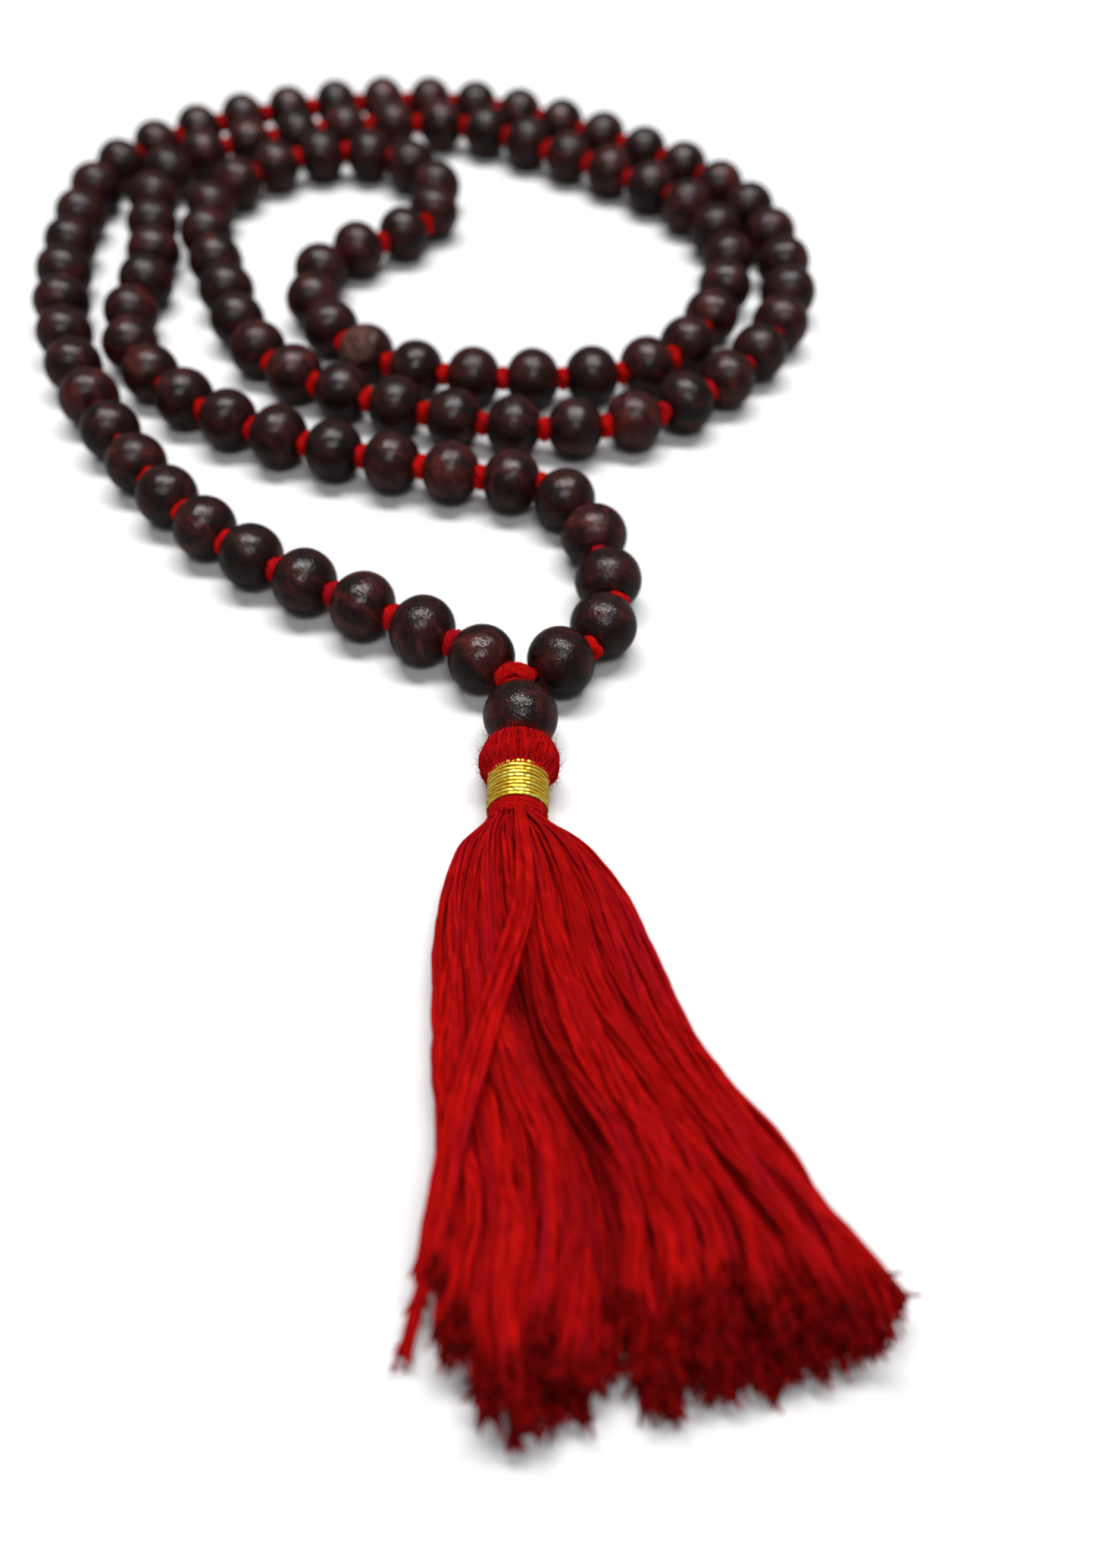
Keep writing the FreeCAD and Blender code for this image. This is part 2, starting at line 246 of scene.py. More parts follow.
class Form:
    """Surfaces gathered into one mesh, with the values that its material reads at each point.

    grain is a place in the material's own space, tone is one random value for each strand or bead, to
    which the skirt's strands add painted shade that darkens them towards the right, and the third value
    is how far a bead's varnish is gone, and on yarn and foil how dark the painted shade is.
    """

    def __init__(self):
        self.points, self.grain, self.tone, self.worn = [], [], [], []
        self.quads, self.tris, self.size = [], [np.zeros((0, 3), int)], 0

    def add(self, points, quads, grain, tone, tris=None, worn=None):
        self.points.append(points)
        self.grain.append(grain)
        self.tone.append(np.broadcast_to(tone, len(points)))
        self.worn.append(np.zeros(len(points)) if worn is None else worn)
        self.quads.append(quads + self.size)
        if tris is not None:
            self.tris.append(tris + self.size)
        self.size += len(points)

    def build(self, name, material, slot, body=None, stands_for=(), flat=False):
        quads, tris = np.concatenate(self.quads), np.concatenate(self.tris)
        mesh = bpy.data.meshes.new(name)
        mesh.vertices.add(self.size)
        mesh.vertices.foreach_set("co", (np.concatenate(self.points) * MM).astype(np.float32).ravel())
        corners = np.concatenate([quads.ravel(), tris.ravel()]).astype(np.int32)
        starts = np.concatenate([np.arange(len(quads)) * 4, len(quads) * 4 + np.arange(len(tris)) * 3])
        mesh.loops.add(len(corners))
        mesh.loops.foreach_set("vertex_index", corners)
        mesh.polygons.add(len(starts))
        mesh.polygons.foreach_set("loop_start", starts.astype(np.int32))
        mesh.polygons.foreach_set("use_smooth", np.full(len(starts), not flat))
        mesh.update(calc_edges=True)
        grain = mesh.attributes.new("grain", "FLOAT_VECTOR", "POINT")
        grain.data.foreach_set("vector", np.concatenate(self.grain).astype(np.float32).ravel())
        for label, values in (("tone", self.tone), ("worn", self.worn)):
            layer = mesh.attributes.new(label, "FLOAT", "POINT")
            layer.data.foreach_set("value", np.concatenate(values).astype(np.float32))
        mesh.materials.append(material)
        piece = bpy.data.objects.new(name, mesh)
        bpy.context.scene.collection.objects.link(piece)
        if stands_for:
            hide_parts(*stands_for)
        if body:
            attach(piece, body)
        return piece


def sweep(form, path, toward, radius, sides, rng, tone, lobes=0, relief=0.0, lay=5.0, closed=False,
          flatten=1.0, shade=None):
    """A yarn along path; its section can have lobes that wind once in each length of lay.

    shade says how dark the yarn is at each point of the path.
    """
    path = np.asarray(path, float)
    if closed:
        tangent = unit(np.roll(path, -1, axis=0) - np.roll(path, 1, axis=0))
    else:
        tangent = unit(np.gradient(path, axis=0))
    toward = np.broadcast_to(toward, path.shape)
    side = unit(toward - np.sum(toward * tangent, axis=1, keepdims=True) * tangent)
    up = np.cross(tangent, side)
    steps = np.linalg.norm(np.diff(path, axis=0), axis=1)
    along = np.concatenate([[0], np.cumsum(steps)])[:, None]
    angle = np.linspace(0, 2 * math.pi, sides, endpoint=False)[None, :]
    if closed:
        whole = along[-1, 0] + np.linalg.norm(path[0] - path[-1])
        lay = whole / max(1, round(whole / lay))
    phase = angle + 2 * math.pi * along / lay
    radius = np.broadcast_to(radius, len(path))[:, None]
    r = radius * (1 + relief * np.cos(lobes * phase))
    ring = path[:, None, :] + (r * np.cos(angle))[..., None] * side[:, None, :]
    ring = ring + (r * flatten * np.sin(angle))[..., None] * up[:, None, :]
    offset = rng.uniform(0, 200, 3)
    grain = np.stack([r * np.cos(phase), r * np.sin(phase), along + 0 * r], axis=-1) + offset
    points, grain = ring.reshape(-1, 3), grain.reshape(-1, 3)
    worn = np.repeat(np.zeros(len(path)) if shade is None else shade, sides)
    quads, tris = grid(len(path), sides, wrap_rows=closed), None
    if not closed:
        points = np.vstack([points, path[:1], path[-1:]])
        grain = np.vstack([grain, grain[:1], grain[-1:]])
        worn = np.concatenate([worn, worn[:1], worn[-1:]])
        k = np.arange(sides)
        first, last = len(points) - 2, len(points) - 1
        head = np.stack([np.full(sides, first), (k + 1) % sides, k], axis=1)
        foot_row = (len(path) - 1) * sides
        foot = np.stack([np.full(sides, last), foot_row + k, foot_row + (k + 1) % sides], axis=1)
        tris = np.vstack([head, foot])
    form.add(points, quads, grain, tone, tris=tris, worn=worn)


def fuzz(form, roots, outward, rng, length, radius=0.016):
    """Short loose fibres that stand off the yarn at the given points."""
    for root, out in zip(roots, outward):
        side = unit(np.cross(out, rng.normal(size=3)))
        reach = length * rng.uniform(0.5, 1.3)
        t = np.linspace(0, 1, 5)[:, None]
        curl = rng.uniform(-0.9, 0.9)
        path = root + reach * (t * out * rng.uniform(0.25, 0.9) + (t + curl * t * t) * side * 0.8)
        path[:, 2] = np.maximum(path[:, 2], radius)
        sweep(form, path, np.cross(side, out), radius * (1 - 0.5 * t[:, 0]), 3, rng, rng.uniform())


# ---- Materials ---------------------------------------------------------------------------------
class Nodes:
    """A new material with a Principled shader, and short ways to add nodes to it."""

    def __init__(self, name):
        self.material = bpy.data.materials.new(name)
        self.material.use_nodes = True
        self.tree = self.material.node_tree
        self.shader = self.tree.nodes["Principled BSDF"]

    def add(self, kind, **values):
        """A new node; each value sets a property of it or, if it has none by that name, an input."""
        node = self.tree.nodes.new(kind)
        for key, value in values.items():
            if hasattr(node, key):
                setattr(node, key, value)
            else:
                node.inputs[key.replace("_", " ")].default_value = value
        return node

    def link(self, output, node, socket):
        self.tree.links.new(output, node.inputs[socket])

    def attribute(self, name, output="Fac"):
        return self.add("ShaderNodeAttribute", attribute_name=name).outputs[output]

    def noise(self, coordinate, stretch, scale, detail=4.0, roughness=0.6, distortion=0.0):
        """Noise over the grain space, drawn out along its third axis by small stretch values."""
        mapping = self.add("ShaderNodeMapping")
        mapping.inputs["Scale"].default_value = (1, 1, stretch)
        self.link(coordinate, mapping, "Vector")
        noise = self.add("ShaderNodeTexNoise")
        noise.inputs["Scale"].default_value = scale
        noise.inputs["Detail"].default_value = detail
        noise.inputs["Roughness"].default_value = roughness
        noise.inputs["Distortion"].default_value = distortion
        self.link(mapping.outputs["Vector"], noise, "Vector")
        return noise.outputs["Fac"]

    def ramp(self, factor, stops):
        """Colour or grey by a factor: stops are (place, colour)."""
        ramp = self.add("ShaderNodeValToRGB")
        while len(ramp.color_ramp.elements) < len(stops):
            ramp.color_ramp.elements.new(0.5)
        for element, (place, colour) in zip(ramp.color_ramp.elements, stops):
            element.position = place
            element.color = (*colour, 1) if len(colour) == 3 else colour
        self.link(factor, ramp, "Fac")
        return ramp.outputs["Color"]

    def grey(self, factor, low, high):
        """Black up to the low factor, white from the high one."""
        return self.ramp(factor, [(low, (0, 0, 0)), (high, (1, 1, 1))])

    def mix(self, factor, a, b):
        """Colour a, or colour b where the factor is 1."""
        node = self.add("ShaderNodeMix", data_type="RGBA")
        for socket, value in ((0, factor), (6, a), (7, b)):
            if isinstance(value, bpy.types.NodeSocket):
                self.tree.links.new(value, node.inputs[socket])
            else:
                node.inputs[socket].default_value = (*value, 1) if isinstance(value, tuple) else value
        return node.outputs[2]

    def maths(self, operation, a, b):
        node = self.add("ShaderNodeMath", operation=operation)
        for socket, value in enumerate((a, b)):
            if isinstance(value, bpy.types.NodeSocket):
                self.tree.links.new(value, node.inputs[socket])
            else:
                node.inputs[socket].default_value = value
        return node.outputs[0]

    def bump(self, height, depth, strength=1.0, before=None):
        """Relief of the given depth in millimetres, laid over an earlier bump."""
        node = self.add("ShaderNodeBump")
        node.inputs["Strength"].default_value = strength
        node.inputs["Distance"].default_value = depth * MM
        self.link(height, node, "Height")
        if before is not None:
            self.link(before, node, "Normal")
        return node.outputs["Normal"]

    def set(self, **values):
        for key, value in values.items():
            self.shader.inputs[key.replace("_", " ")].default_value = value


def rosewood():
    """Dark varnished wood: long grain, fine pores that break the shine, and worn bare patches."""
    m = Nodes("rosewood")
    grain, tone, worn = m.attribute("grain", "Vector"), m.attribute("tone"), m.attribute("worn")
    figure = m.noise(grain, 0.22, 0.42, detail=6, roughness=0.62, distortion=0.9)
    wood = m.ramp(figure, [(0.30, (0.0050, 0.0013, 0.0013)), (0.45, (0.020, 0.0034, 0.0029)),
                           (0.57, (0.060, 0.0092, 0.0070)), (0.70, (0.150, 0.0240, 0.0165))])
    wood = m.mix(m.maths("MULTIPLY", tone, 0.62), wood, (0.0060, 0.0028, 0.0026))
    streak = m.grey(m.noise(grain, 0.05, 2.6, detail=5, roughness=0.7), 0.42, 0.66)
    wood = m.mix(m.maths("MULTIPLY", streak, 0.55), wood, (0.004, 0.0017, 0.0016))
    bare = m.ramp(m.noise(grain, 0.5, 1.6, detail=6, roughness=0.7),
                  [(0.36, (0.030, 0.011, 0.009)), (0.64, (0.150, 0.072, 0.056))])
    wood = m.mix(worn, wood, bare)
    pores = m.grey(m.noise(grain, 0.16, 5.5, detail=3, roughness=0.75), 0.60, 0.68)
    wood = m.mix(m.maths("MULTIPLY", pores, 0.6), wood, (0.002, 0.001, 0.001))
    m.link(wood, m.shader, "Base Color")
    normal = m.bump(m.noise(grain, 0.45, 1.7, detail=3, roughness=0.6), 0.070)
    normal = m.bump(m.noise(grain, 0.55, 3.6, detail=2, roughness=0.6), 0.056, 1.0, normal)
    sunk = m.bump(m.maths("SUBTRACT", 1.0, pores), 0.014, 1.0, normal)
    m.link(sunk, m.shader, "Normal")
    m.link(sunk, m.shader, "Coat Normal")
    m.link(m.maths("MULTIPLY", m.maths("SUBTRACT", 1.0, worn), 0.78), m.shader, "Coat Weight")
    m.set(Coat_Roughness=0.07, Coat_IOR=1.42)
    m.link(m.maths("ADD", m.maths("MULTIPLY", worn, 0.25), 0.50), m.shader, "Roughness")
    m.set(Specular_IOR_Level=0.10)
    return m.material


def yarn(name, deep, mid, bright, stretch):
    """Soft dyed fibre: fine streaks along each strand, lighter and darker strands, a little sheen."""
    m = Nodes(name)
    grain, tone = m.attribute("grain", "Vector"), m.attribute("tone")
    streak = m.noise(grain, stretch, 3.2, detail=5, roughness=0.7)
    colour = m.ramp(streak, [(0.30, deep), (0.52, mid), (0.74, bright)])
    crimson = m.grey(m.noise(grain, 0.2, 0.16, detail=2), 0.50, 0.66)
    colour = m.mix(m.maths("MULTIPLY", crimson, 0.55), colour, (0.62 * mid[0], mid[1], 5.0 * mid[2]))
    colour = m.mix(m.maths("MULTIPLY", tone, 0.50), colour, deep)
    # Painted shade: the third attribute darkens the yarn towards this colour in the skirt's valley and on
    # the cut ends.
    shadow = tuple(0.22 * v for v in deep)
    colour = m.mix(m.maths("MULTIPLY", m.attribute("worn"), 0.85), colour, shadow)
    m.link(colour, m.shader, "Base Color")
    normal = m.bump(m.noise(grain, stretch, 5.0, detail=4, roughness=0.75), 0.10, 0.8)
    m.link(normal, m.shader, "Normal")
    m.set(Roughness=0.85, Specular_IOR_Level=0.03, Sheen_Weight=0.08, Sheen_Roughness=0.45)
    m.shader.inputs["Sheen Tint"].default_value = (1.0, 0.06, 0.05, 1)
    return m.material


def gold_thread():
    """Crinkled metallic foil wound on a thread: each short length of foil has its own tilt and shade."""
    m = Nodes("gold_thread")
    grain, tone = m.attribute("grain", "Vector"), m.attribute("tone")
    colour = m.ramp(tone, [(0.0, (0.86, 0.47, 0.022)), (0.5, (1.0, 0.67, 0.050)), (1.0, (1.0, 0.83, 0.15))])
    # Painted shade: the foil darkens towards this colour at its edges and underside, between the turns.
    colour = m.mix(m.attribute("worn"), colour, (0.20, 0.080, 0.008))
    m.link(colour, m.shader, "Base Color")
    m.link(m.bump(m.noise(grain, 0.6, 6.0, detail=3), 0.04, 0.6), m.shader, "Normal")
    m.set(Metallic=0.62, Roughness=0.30)
    return m.material


def pale_floor():
    """White paper that fades into the pale wall far from the beads, which mirror it darker."""
    m = Nodes("pale_floor")
    m.set(Roughness=0.9, Specular_IOR_Level=0.0)
    place = m.add("ShaderNodeTexCoord").outputs["Object"]
    paper = m.ramp(m.noise(place, 1.0, 30.0), [(0.3, (0.84, 0.84, 0.85)), (0.7, (0.87, 0.87, 0.88))])
    ray = m.add("ShaderNodeLightPath").outputs
    m.link(m.mix(ray["Is Glossy Ray"], paper, (0.20, 0.20, 0.205)), m.shader, "Base Color")
    away = m.add("ShaderNodeVectorMath", operation="LENGTH")
    m.link(place, away, "Vector")
    far = m.grey(m.maths("MULTIPLY", away.outputs["Value"], 0.4), 0.16, 0.60)
    m.link(m.maths("MULTIPLY", far, ray["Is Camera Ray"]), m.shader, "Emission Strength")
    m.set(Emission_Color=tuple(WALL_SEEN * v for v in WALL_COLOUR))
    return m.material


# ---- Beads -------------------------------------------------------------------------------------
def separate_solids(node):
    """Points of each separate solid in a CAD node."""
    mesh = frame["nodes"][node].data
    co = np.empty(len(mesh.vertices) * 3, np.float32)
    mesh.vertices.foreach_get("co", co)
    ends = np.empty(len(mesh.edges) * 2, np.int32)
    mesh.edges.foreach_get("vertices", ends)
    co, same = np.unique(np.round(co.reshape(-1, 3) / MM, 2), axis=0, return_inverse=True)
    ends = same.ravel()[ends].reshape(-1, 2)
    label = np.arange(len(co))
    while True:
        low = np.minimum(label[ends[:, 0]], label[ends[:, 1]])
        lower = label.copy()
        np.minimum.at(lower, ends[:, 0], low)
        np.minimum.at(lower, ends[:, 1], low)
        lower = lower[lower]
        if (lower == label).all():
            break
        label = lower
    return [co[label == k] for k in np.unique(label)]


def bead_seat(points):
    """Centre, bore direction, radius and half length of a bead that lies flat on the table."""
    centre = points.mean(axis=0)
    offsets = points - centre
    values, vectors = np.linalg.eigh(np.cov(offsets[:, :2].T))
    upright = offsets[:, 2].var()
    pick = int(np.argmax(np.abs(values - upright)))
    axis = np.array([*vectors[:, pick], 0.0])
    across = np.linalg.norm(offsets - np.outer(offsets @ axis, axis), axis=1)
    return {"centre": centre, "axis": axis, "radius": across.max(), "half": np.abs(offsets @ axis).max()}


def bead_profile(seat, grow):
    """(radius, height) all round a bead's section: up the barrel, in at the mouth, down the bore."""
    half, radius, face = seat["half"], seat["radius"], FACE_R + grow
    back = (radius**2 - face**2 - half**2) / (2 * (radius - face))
    arc_r = radius - back
    end = math.asin(half / arc_r)
    turn = np.linspace(-end, end, BARREL_STEPS)
    barrel = np.stack([back + arc_r * np.cos(turn), arc_r * np.sin(turn)], axis=1)
    mouth = MOUTH_R + grow
    bore = BORE_R + grow
    inside = [(mouth + 0.10, half), (mouth - 0.05, half - 0.05), (mouth - 0.28, half - 0.25),
              (bore, half - 0.6), (bore, 0.0)]
    down = inside + [(r, -h) for r, h in reversed(inside[:-1])]
    return np.vstack([barrel, down])


def add_bead(form, seat, rng, grow=0.0, worn=False):
    """A turned bead, a little out of round, with its own cut of the wood's grain."""
    profile = bead_profile(seat, grow)
    angle = np.linspace(0, 2 * math.pi, BEAD_AROUND, endpoint=False)
    local = np.stack([np.outer(profile[:, 0], np.cos(angle)), np.outer(profile[:, 0], np.sin(angle)),
                      np.outer(profile[:, 1], np.ones(BEAD_AROUND))], axis=-1).reshape(-1, 3)
    outer = np.arange(len(local)) < BARREL_STEPS * BEAD_AROUND
    away = unit(local)
    push = WOBBLE * (0.6 * lumps(local, rng, 6.0) + 0.25 * lumps(local, rng, 2.4)) - 0.4 * WOBBLE
    across = np.sqrt(np.clip(1 - (local[:, 2] / seat["half"]) ** 2, 0, 1))
    local = local + away * (push * outer * across)[:, None]
    axis = seat["axis"]
    level = np.array([-axis[1], axis[0], 0.0])
    world = seat["centre"] + np.outer(local[:, 0], level) + np.outer(local[:, 2], axis)
    world[:, 2] += local[:, 1]
    bare = np.zeros(len(local))
    if worn:
        bare, world = wear(seat, world, rng)
    spin = Matrix.Rotation(rng.uniform(0, 2 * math.pi), 3, "Z")
    tilt = Matrix.Rotation(rng.uniform(0, 1.4), 3, "X")
    grain = local @ np.array(spin @ tilt).T + rng.uniform(0, 200, 3)
    form.add(world, grid(len(profile), BEAD_AROUND, wrap_rows=True), grain, rng.uniform(), worn=bare)


def wear(seat, world, rng):
    """A bare, flattened patch on the upper side facing the tassel, with two shallow pits in it."""
    offset = world - seat["centre"]
    facing = unit(np.array(WORN_FACING))
    near = unit(offset) @ facing
    bare = smooth_step((near - 0.60 + 0.10 * lumps(world, rng, 1.6)) / 0.22)
    world = world - facing * (smooth_step((near - 0.70) / 0.3) * 0.28)[:, None]
    for pit, depth, width in WORN_PITS:
        off_pit = (unit(offset) @ unit(np.array(pit)) - 1) / width**2 * 2
        world = world - facing * (depth * np.exp(-(off_pit**2)))[:, None]
    return bare, world


def body_nodes():
    """The CAD nodes of each body."""
    return frame["record"]["behaviour"]["bodies"]


def find_beads():
    """The seat of every bead on the strand, with its node and body."""
    strand = []
    for body, nodes in body_nodes().items():
        for node in nodes:
            if node.startswith("bead_") or node.endswith("_beads"):
                for points in separate_solids(node):
                    strand.append({**bead_seat(points), "node": node, "body": body})
    return strand


def make_beads(strand, material):
    """Every bead, node by node."""
    places = np.array([s["centre"][:2] for s in strand])
    bald = int(np.argmin(np.linalg.norm(places - WORN_BEAD, axis=1)))
    rng = np.random.default_rng(SEED)
    forms = {}
    for k, seat in enumerate(strand):
        form = forms.setdefault((seat["node"], seat["body"]), Form())
        add_bead(form, seat, rng, worn=(k == bald))
    for (node, body), form in forms.items():
        form.build(f"wood_{node}", material, "rosewood", body, (node,))
    guru = Form()
    add_bead(guru, bead_seat(separate_solids("guru_bead")[0]), rng, GURU_GROW)
    guru.build("wood_guru_bead", material, "rosewood", "guru", ("guru_bead",))


# ---- Cord and knots ----------------------------------------------------------------------------
def frame_of(axis):
    """Three directions with the given one last, the second one up."""
    up = np.array([0.0, 0.0, 1.0])
    return np.stack([np.cross(up, axis), up, axis], axis=0)


def add_small_knot(form, centre, axis, rng):
    """An overhand knot pulled tight between two beads."""
    t = np.linspace(0, 2 * math.pi, 66, endpoint=False)
    wide = KNOT_RING_R * rng.uniform(0.94, 1.08)
    local = np.stack([(wide + KNOT_SWAY * np.cos(3 * t)) * np.cos(2 * t),
                      (wide + KNOT_SWAY * np.cos(3 * t)) * np.sin(2 * t),
                      KNOT_DEPTH * np.sin(3 * t)], axis=1)
    spin = rng.uniform(0, 2 * math.pi)
    tilt = Matrix.Rotation(rng.uniform(-0.2, 0.2), 3, "X") @ Matrix.Rotation(spin, 3, "Z")
    local = local @ np.array(tilt).T
    path = centre + local @ frame_of(axis)
    size = KNOT_YARN_R * rng.uniform(0.94, 1.04)
    sweep(form, path, axis, size, 12, rng, rng.uniform(0, 0.5), lobes=3, relief=0.13, lay=2.2, closed=True)
    core = centre + np.outer(np.linspace(-0.5, 0.5, len(CORE_RADII)), axis)
    sweep(form, core, (0, 0, 1), np.array(CORE_RADII), 14, rng, 0.5)


def add_cord(form, start, end, rng):
    """Twisted cord straight through a bead."""
    path = start + np.outer(np.linspace(0, 1, 26), end - start)
    sweep(form, path, (0, 0, 1), CORD_R, 12, rng, 0.3, lobes=3, relief=0.12, lay=2.4)


def cord_bodies():
    """The body of each span's cord node."""
    return {node: body for body, nodes in body_nodes().items() for node in nodes
            if node.endswith("_cord") and node != "guru_cord"}


def cord_ends(strand, owners):
    """Two cord ends for each bead, half a pitch either way: (places, axes, the cord node of the span)."""
    parent = {j["child"]: j["parent"] for j in frame["joints"]}
    span_cord = {body: node for node, body in owners.items()}
    places, axes, nodes = [], [], []
    for seat in strand:
        span = seat["body"] if seat["body"] in span_cord else parent[seat["body"]]
        for sign in (-1, 1):
            places.append(seat["centre"] + sign * seat["axis"] * PITCH / 2)
            axes.append(seat["axis"])
            nodes.append(span_cord[span])
    return np.array(places), axes, nodes


def pair_up(places):
    """The nearest other cord end of each one, and whether the two meet in a small knot."""
    apart = np.linalg.norm(places[:, None] - places[None], axis=2)
    np.fill_diagonal(apart, np.inf)
    return apart.argmin(axis=1), apart.min(axis=1) < MEETING


def make_cords(strand, material):
    """One piece for each span: its small knots, and its cord through the beads."""
    rng = np.random.default_rng(SEED + 1)
    owners = cord_bodies()
    forms = {node: Form() for node in owners}
    clouds = {node: np.vstack(separate_solids(node)) for node in owners}
    places, axes, nodes = cord_ends(strand, owners)
    partner, paired = pair_up(places)
    # The two ends of one bead's cord follow each other in these lists.
    for k in range(0, len(places), 2):
        start, end = places[k], places[k + 1]
        tail = unit(end - start) * CORD_TAIL
        add_cord(forms[nodes[k]], start - tail * (not paired[k]), end + tail * (not paired[k + 1]), rng)
    for k, other in enumerate(partner):
        if paired[k] and other > k:
            middle = (places[k] + places[other]) / 2
            along = unit(axes[k] + axes[other] * np.sign(axes[k] @ axes[other]))
            add_small_knot(forms[knot_owner(middle, along, clouds)], middle, along, rng)
    for node, form in forms.items():
        form.build(f"cord_{node}", material, "red_cord", owners[node], (node,))


def knot_owner(middle, along, clouds):
    """The cord node whose own ball is at this knot: only a ball is this wide."""
    best, most = None, -1
    for node, cloud in clouds.items():
        near = cloud[np.linalg.norm(cloud - middle, axis=1) < BALL_REACH] - middle
        across = np.linalg.norm(near - np.outer(near @ along, along), axis=1)
        count = int((across > BALL_MIN_R).sum())
        if count > most:
            best, most = node, count
    return best


def make_gather_knot(material):
    """The knot that ties both strand ends: turns of yarn wound over one another, and a stray hair."""
    rng = np.random.default_rng(SEED + 2)
    form = Form()
    centre, axes = np.array(GATHER_LUMP), np.array(GATHER_AXES)
    t = np.linspace(0, 1, 420)
    spin = 2 * math.pi * GATHER_TURNS * t
    tilt = 2 * math.pi * GATHER_TILTS * t
    lean = 0.55 + 0.35 * np.sin(2 * math.pi * 2.3 * t)
    ring = np.stack([np.cos(spin), np.sin(spin) * np.cos(lean), np.sin(spin) * np.sin(lean)], axis=1)
    turned = np.stack([ring[:, 0] * np.cos(tilt) - ring[:, 2] * np.sin(tilt), ring[:, 1],
                       ring[:, 0] * np.sin(tilt) + ring[:, 2] * np.cos(tilt)], axis=1)
    path = centre + turned * (axes - 0.35)
    sweep(form, path, turned, GATHER_YARN_R, 10, rng, 0.2, lobes=3, relief=0.13, lay=2.4)
    add_ellipsoid(form, centre, axes * 0.86, rng)
    away = unit(rng.normal(size=(GATHER_FUZZ, 3)) * (1, 0.6, 1) + (0, 0, 0.9))
    fuzz(form, centre + away * axes, away, rng, 0.7)
    hair = curve_through(HAIR, 40)
    sweep(form, hair, (0, 0, 1), HAIR_R, 5, rng, 0.0, shade=np.ones(40))
    form.build("cord_gather_knot", material, "red_cord", "neck_span", ("gather_knot",))


def add_ellipsoid(form, centre, axes, rng):
    """A closed lump under the wound turns."""
    t = np.linspace(-1, 1, 15)
    path = centre + np.outer(t * axes[0] * 0.98, (1, 0, 0))
    radius = axes[2] * np.sqrt(1 - (t * 0.97) ** 2)
    sweep(form, path, (0, 0, 1), radius, 20, rng, 0.6, flatten=axes[1] / axes[2])


# ---- Tassel ------------------------------------------------------------------------------------
def round_cord(y, radius, angle):
    """Points at an angle and radius round the cord's line through the tassel."""
    return np.stack([radius * np.cos(angle), y, CORD_Z + radius * np.sin(angle)], axis=-1)


def outwards(angle, lean=0.0):
    """Directions away from that line, leaning along it."""
    return np.stack([np.cos(angle), lean + 0 * angle, np.sin(angle)], axis=-1)


def make_head(material):
    """The folded top of the bundle: strands laid side by side over a ball and down into the neck."""
    rng = np.random.default_rng(SEED + 3)
    form = Form()
    y, outline = curve_through(HEAD, HEAD_STEPS).T
    sweep(form, round_cord(y, 0 * y, 0 * y), (0, 0, 1), outline - 0.22, 60, rng, 0.8)
    t = np.linspace(0, 1, HEAD_STEPS)
    for k in range(HEAD_STRANDS):
        angle = 2 * math.pi * (k + rng.uniform(-0.4, 0.4)) / HEAD_STRANDS
        angle = angle + 0.20 * t + 0.085 * wander(t, rng, 2.4)
        lift = rng.uniform(-0.16, 0.05) + 0.05 * wander(t, rng, 3.0)
        path = round_cord(y, outline + lift, angle)
        size = rng.uniform(0.09, 0.18) * (0.30 + 0.70 * outline / 4.0)
        path[:, 2] = np.maximum(path[:, 2], size)
        sweep(form, path, outwards(angle), size, 8, rng, 0.55 * rng.uniform(), lobes=2, relief=0.16, lay=3.2)
    turn = rng.uniform(0, 2 * math.pi, HEAD_FUZZ)
    down = rng.integers(6, 24, HEAD_FUZZ)
    roots = round_cord(y[down], outline[down], turn)
    fuzz(form, roots, outwards(turn, -0.2), rng, 0.9, HEAD_FUZZ_R)
    form.build("yarn_head", material, "tassel_yarn", "tassel", ("tassel_head",))


def make_wrap(material):
    """Flat metallic thread wound closely round the neck, creased into short bright lengths."""
    rng = np.random.default_rng(SEED + 4)
    form = Form()
    count = WRAP_TURNS * WRAP_AROUND + 1
    angle = np.linspace(0, 2 * math.pi * WRAP_TURNS, count)
    y = WRAP_START_Y - WRAP_PITCH * angle / (2 * math.pi) + 0.018 * wander(angle, rng, 0.16)
    radius = WRAP_R + 0.02 * wander(angle, rng, 0.9) + rng.normal(0, 0.012, count)
    dip = 1 - 0.5 * (np.arange(count) % CREASE == 0)
    rows = []
    for across, out, _ in FOIL:
        r = radius + out * FOIL_HALF_T * np.where(out > 0, dip, 1)
        shift = across * FOIL_HALF_W * (0.94 + 0.06 * dip) + rng.normal(0, 0.006, count)
        rows.append(round_cord(y + shift, r, angle))
    points = np.stack(rows, axis=1)
    along = np.broadcast_to((angle * WRAP_R)[:, None], (count, len(FOIL)))
    grain = np.stack([points[..., 1], points[..., 0] * 0, along], axis=-1)
    creased = np.repeat(rng.uniform(0, 1, count // CREASE + 1), CREASE)[:count]
    tone = np.repeat(creased, len(FOIL))
    ends = np.array([[0, k + 1, k] for k in range(1, len(FOIL) - 1)])
    last = (count - 1) * len(FOIL)
    tris = np.vstack([ends, last + ends[:, ::-1]])
    # Painted shade along the foil's edges and underside, where one turn meets the next.
    painted_edge_shade = np.tile([dark for _, _, dark in FOIL], count)
    form.add(points.reshape(-1, 3), grid(count, len(FOIL)), grain.reshape(-1, 3), tone, tris, painted_edge_shade)
    form.build("gold_wrap_thread", material, "gold_thread", "tassel", ("gold_wrap",), flat=True)


